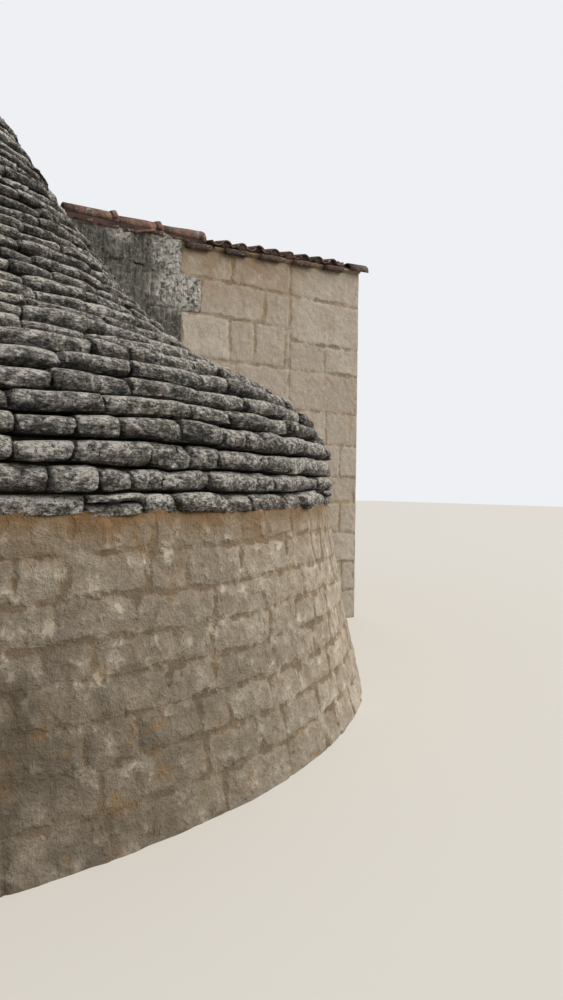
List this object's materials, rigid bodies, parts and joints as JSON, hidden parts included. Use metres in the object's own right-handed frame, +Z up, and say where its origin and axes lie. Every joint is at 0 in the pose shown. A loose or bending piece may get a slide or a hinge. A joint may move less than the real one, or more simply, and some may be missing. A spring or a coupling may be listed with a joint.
{
  "type": "trullo house",
  "caption": "Round dry stone house with a bell-shaped cone roof of grey limestone slabs, joined to a taller tiled stone room.",
  "frame": {"origin": "middle of the whole footprint, on the ground", "axes": "+Z up, +X to the right along the tall room's front wall, +Y from the front to the back"},
  "size_m": [9.243, 8.04, 6.3975],
  "materials": {
    "drum_limestone": "rough limestone blocks in smeared lime mortar",
    "vault_limestone": "rough corbelled limestone",
    "roof_slabs": "weathered grey limestone slabs with lichen",
    "pinnacle_stone": "smooth pale limestone",
    "old_limestone": "old limestone, streaked dark by lichen",
    "cut_limestone": "squared cream limestone with grey joints",
    "mortar": "pale lime mortar",
    "clay": "old red brown clay tiles",
    "dark_clay": "sooty dark clay tiles"
  },
  "bodies": {
    "root": {"drum_wall_passage_front": "drum_limestone", "drum_wall_passage_back": "drum_limestone", "drum_wall_back_left": "drum_limestone", "drum_wall_left_back": "drum_limestone", "drum_wall_left_front": "drum_limestone", "drum_wall_front_left": "drum_limestone", "drum_wall_front_right": "drum_limestone", "drum_wall_right_front": "drum_limestone", "vault_back_right": "vault_limestone", "vault_back_left": "vault_limestone", "vault_front_left": "vault_limestone", "vault_front_right": "vault_limestone", "roof_slabs_right_back": "roof_slabs", "roof_slabs_back_right": "roof_slabs", "roof_slabs_back_left": "roof_slabs", "roof_slabs_left_back": "roof_slabs", "roof_slabs_left_front": "roof_slabs", "roof_slabs_front_left": "roof_slabs", "roof_slabs_front_right": "roof_slabs", "roof_slabs_right_front": "roof_slabs", "passage_lintel": "cut_limestone", "crown_stone": "vault_limestone", "cap_stone": "roof_slabs", "pinnacle": "pinnacle_stone", "front_wall_old": "old_limestone", "front_wall_rebuilt": "cut_limestone", "side_wall_front": "cut_limestone", "side_wall_back": "cut_limestone", "side_wall_over_door": "cut_limestone", "door_lintel": "cut_limestone", "door_sill": "cut_limestone", "back_wall": "cut_limestone", "left_wall": "old_limestone", "roof_deck": "mortar", "tile_bed": "mortar", "pan_tiles": "clay", "cover_tiles": "clay", "eave_tiles": "dark_clay", "corner_tile": "dark_clay", "front_edge_tiles": "clay", "top_edge_tiles": "clay"}
  },
  "joints": []
}
